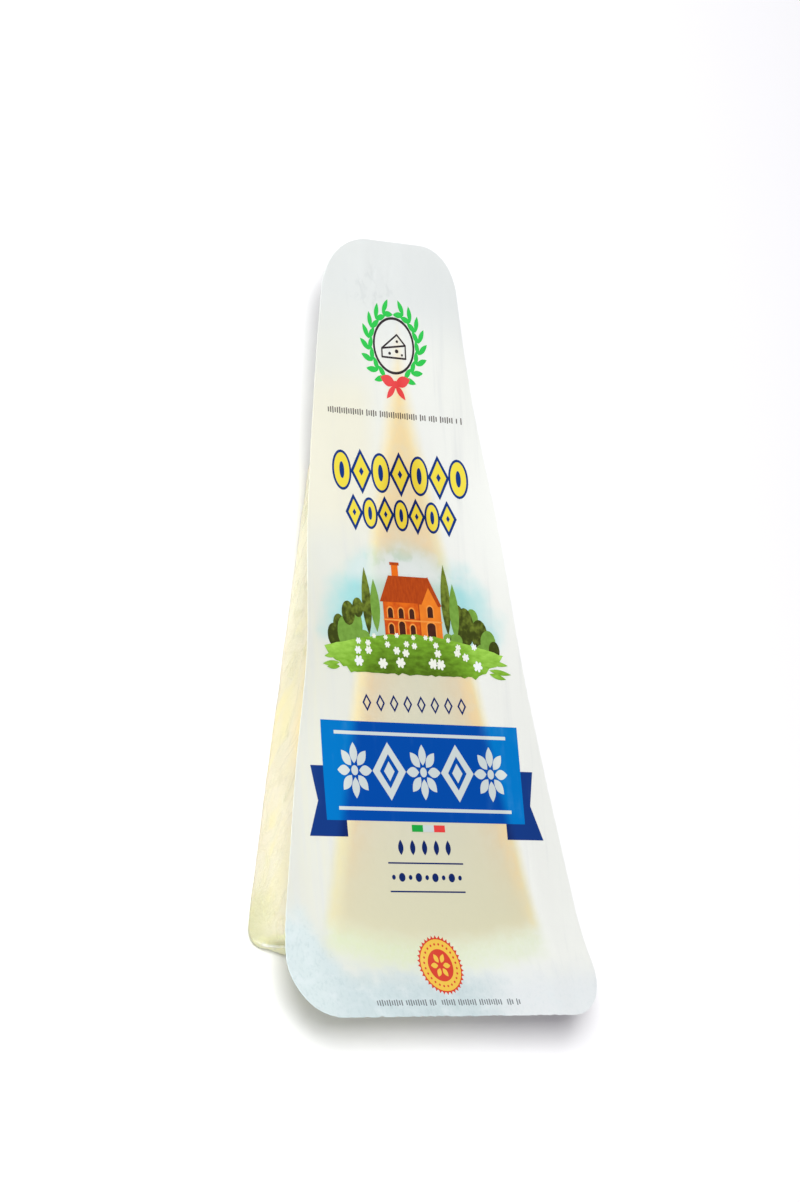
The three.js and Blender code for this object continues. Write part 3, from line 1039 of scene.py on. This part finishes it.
# Each tree crown has its middle, its half width and its half height, and each window its left foot,
# its width and its height.
CROWNS = (
    (-28.5, 99.5, 2.6, 3.2), (-26.4, 102.4, 2.2, 2.8), (-24.4, 100.5, 2.8, 4.2),
    (-22.6, 105.6, 2.4, 3.2), (-20.6, 102.5, 3.0, 5.4), (-18.8, 107.2, 2.0, 2.6),
    (17.4, 106.6, 2.4, 3.0), (20.0, 103.6, 3.2, 5.2), (22.8, 106.0, 2.2, 2.6),
    (25.0, 101.6, 3.0, 4.2), (28.0, 99.6, 2.8, 3.4), (30.0, 97.6, 2.0, 2.6),
)
POPLARS = ((-15.4, 100, 18), (-12.4, 101, 14), (13.6, 101, 19), (16.4, 100, 15))
WINDOWS = (
    (-8.0, 105.0, 1.8, 2.7), (-4.1, 105.0, 1.8, 2.7), (-0.2, 105.0, 1.8, 2.7), (-8.0, 100.8, 1.8, 2.6),
    (-0.2, 100.8, 1.8, 2.6), (-4.3, 100.2, 2.2, 4.0), (6.5, 105.6, 2.0, 3.0), (6.0, 100.2, 3.0, 4.0),
)
ARCH_RISE, LEDGE = 0.9, 0.4
HILL_HALF = 33

cutting = Cutting(hill_ink, tree_ink, bush_ink, brick_ink, roof_ink, ledge_ink, window_ink, white)
for i, (x, along, half, tall) in enumerate(CROWNS):
    cutting.shape(oval((x, along), half, tall, 0, 20), bush_ink if i % 6 in (2, 4) else tree_ink, i % 4)
for i, (x, foot, tall) in enumerate(POPLARS):
    cutting.shape(leaf((x, foot), (x, foot + tall), 1.7), bush_ink if i % 2 else tree_ink, 4 + i % 2)

# The farmhouse has a long wall, a gable, a chimney, two roofs, a corner post and a ledge.
cutting.shape(box_of(-9.5, 3.5, 100, 110), brick_ink, 6)
cutting.shape([(3.5, 100), (11.5, 100), (11.5, 109.5), (7.5, 114.5), (3.5, 109.5)], brick_ink, 6)
cutting.shape(box_of(-5.4, -3.0, 113.4, 119.0), brick_ink, 6)
cutting.shape(box_of(-5.9, -2.5, 119.0, 119.8), roof_ink, 6)
cutting.shape([(-10.6, 109.2), (3.9, 109.2), (7.5, 116.2), (-6.8, 116.2)], roof_ink, 7)
gable_roof = [(3.4, 109.0), (4.6, 109.0), (7.5, 113.6), (10.6, 108.6), (11.9, 108.8), (7.5, 116.5)]
cutting.shape(gable_roof, roof_ink, 8)
cutting.shape(box_of(3.3, 3.7, 100, 109.2), roof_ink, 7)
cutting.shape(box_of(-9.7, 11.7, 104.3, 104.7), ledge_ink, 8)
for x, low, across, tall in WINDOWS:
    for grow, ink, layer in ((LEDGE, ledge_ink, 8.5), (0, window_ink, 9)):
        spring = (x + across / 2, low + tall - ARCH_RISE)
        half = across / 2 + grow
        arch = [spoke(spring, math.pi * k / 8, -half, ARCH_RISE + grow) for k in range(9)]
        cutting.shape([(x + across + grow, low), (x - grow, low)] + arch, ink, layer)
for x, along, half in ((-17.5, 99.6, 2.2), (13.4, 100.2, 1.8), (16.2, 99.8, 2.4), (25.4, 97.6, 2.0)):
    cutting.shape(oval((x, along), half, half * 0.8, 0, 20), bush_ink, 9)

# The hill has a round top and a ragged foot, with blades of grass at its ends and flowers on it.
hill = []
for i in range(41):
    x = -HILL_HALF + 2 * HILL_HALF * i / 40
    hill.append((x, 96.2 + 4.6 * math.cos(x / 22) + 0.5 * noise.noise(Vector((x * 0.3, 1, 0)))))
for i in range(1, 49):
    x = HILL_HALF - 2 * HILL_HALF * i / 49
    end = smooth(abs(x), 22, HILL_HALF)
    ragged = 0.8 * noise.noise(Vector((x * 0.7, 7, 0)))
    tufted = 1.8 * end * noise.noise(Vector((x * 0.45, 2, 0)))
    hill.append((x, 90.2 + 4.4 * end + ragged + tufted))
cutting.shape(hill, hill_ink, 10)
for low, reach, lean in ((91.6, 7.0, 0.2), (93.8, 6.0, 0.0), (90.6, 5.0, 0.5)):
    for side in (-1, 1):
        tip = (side * (28.5 + reach * (0.8 if side < 0 else 1)), low - lean * side)
        cutting.shape(leaf((side * 27.5, low + 0.8), tip, 0.7), hill_ink, 11)
flower_rows = ((100.0, 7, 0.6, 16), (98.2, 8, 0.75, 24), (96.0, 7, 0.95, 26), (93.2, 6, 1.25, 24))
for row, (along, count, size, reach) in enumerate(flower_rows):
    for i in range(count):
        wander = noise.noise(Vector((i * 3.7, row * 5.1, 0.5)))
        x = -reach + reach * 2 * (i + 0.5) / count + wander * reach / count * 1.6
        place = (x, along + 0.9 * noise.noise(Vector((i * 2.3, row * 3.3, 4))))
        for petal in range(6):
            turn = math.tau * petal / 6 + i
            centre = spoke(place, turn, size * 0.85, size * 0.7)
            petal_line = oval(centre, size * 0.52, size * 0.4, math.degrees(turn), 9)
            cutting.shape(petal_line, white, 12 + petal % 2)
        cutting.shape(oval(place, size * 0.6, size * 0.5, 0, 10), white, 14)
cutting.lay("printed_landscape")


# The small navy marks: a row of open lozenges above the banner and, under it, two rules with dots
# between them and leaves over them. They are printed in one ink over the cheese.
LOZENGE_ROW, RULES, DOT_ROW, LEAF_ROW = 82.4, (40.6, 33.2), 37.1, 42.9

cutting = Cutting(navy)
for i in range(8):
    centre = (-18.4 + i * 4.95, LOZENGE_ROW)
    cutting.band(lozenge(centre, 1.6, 2.3), lozenge(centre, 0.95, 1.45), navy)
cutting.lay("printed_lozenge_row")

cutting = Cutting(navy)
for low in RULES:
    cutting.shape(box_of(-15.6, 11.6, low, low + 0.4), navy)
for i in range(9):
    cutting.shape(disc((-14.0 + i * 3.0, DOT_ROW), 1.15 if i % 2 else 0.65, 18), navy)
for i in range(5):
    foot = (-10.6 + i * 4.3, LEAF_ROW)
    cutting.shape(leaf(foot, (foot[0], LEAF_ROW + 4), 0.95), navy)
cutting.lay("printed_navy_rules")


# The banner: a broad blue band with folded ends, a row of white flowers and lozenges, two white
# lines and a small flag of three boxes. It is printed over the lower part of the cheese.
BANNER_END = ((29, 47.4), (42.5, 47.4), (38.6, 56.5), (40.5, 65.6), (29, 65.6))
blue = lid_ink("blue_ink", (0, 65, 147), (0, 107, 178), 0.35, 0.05)
banner_white = lid_ink("banner_white_ink", (182, 191, 189), (195, 203, 199), 0.1)

cutting = Cutting(blue, navy, banner_white, green, red)
for side in (-1, 1):
    cutting.shape([(side * x, along) for x, along in BANNER_END], navy, 0)
cutting.shape(box_of(-36, 36, 51.6, 77.4), blue, 1)
for low in (73.9, 54.3):
    cutting.shape(box_of(-31.4, 31.4, low, low + 0.9), banner_white, 2)
for i in range(5):
    centre = (-24.8 + 12.4 * i, 64.6)
    if i % 2:
        cutting.band(lozenge(centre, 6.0, 7.6), lozenge(centre, 3.4, 4.5), banner_white, 2)
        cutting.shape(lozenge(centre, 1.9, 2.6), banner_white, 2)
    else:
        for petal in range(8):
            turn = math.radians(petal * 45)
            near, tip = spoke(centre, turn, 1.6, 1.8), spoke(centre, turn, 6.2, 7.3)
            cutting.shape(leaf(near, tip, 1.35), banner_white, 2)
        cutting.shape(oval(centre, 1.2, 1.3, 0, 16), banner_white, 2)
for i, ink in enumerate((green, banner_white, red)):
    cutting.shape(box_of(-6.0 + 4.0 * i, -2.0 + 4.0 * i, 49.0, 50.8), ink, 2)
cutting.lay("printed_banner")


# The seal near the lower edge: a round red seal with a toothed edge, a yellow ring and a plain flower,
# in two inks on the empty film. Under it a fine grey rule follows the lid's edge.
SEAL = (-1.6, 14.0)
SEAL_REACH, TOOTH_DEPTH, TEETH = 8.1, 0.8, 36
gold = lid_ink("seal_yellow_ink", (214, 175, 70), (216, 178, 70), 0.2)
seal_red = lid_ink("seal_red_ink", (187, 56, 40), (193, 62, 46), 0.2)
grey = lid_ink("grey_ink", (96, 96, 98), (112, 118, 122), 0.1)

cutting = Cutting(gold, seal_red)
toothed = []
for i in range(180):
    turn = math.tau * i / 180
    reach = SEAL_REACH - TOOTH_DEPTH * abs(math.sin(turn * TEETH / 2))
    toothed.append(spoke(SEAL, turn, reach, reach))
cutting.shape(toothed, seal_red, 0)
cutting.shape(disc(SEAL, 7.0, 64), gold, 1)
cutting.shape(disc(SEAL, 4.4, 48), seal_red, 2)
for petal in range(6):
    turn = math.tau * petal / 6
    cutting.shape(leaf(spoke(SEAL, turn, 0.9, 0.9), spoke(SEAL, turn, 3.5, 3.5), 0.75), gold, 3)
for i in range(24):
    dot = spoke(SEAL, math.tau * (i + 0.5) / 24, 5.7, 5.7)
    cutting.shape(disc(dot, 0.34, 10), seal_red, 2)
cutting.lay("printed_seal")

fine_rule("printed_lower_rule", grey, -28, 24.2, 3.9, 0.86)
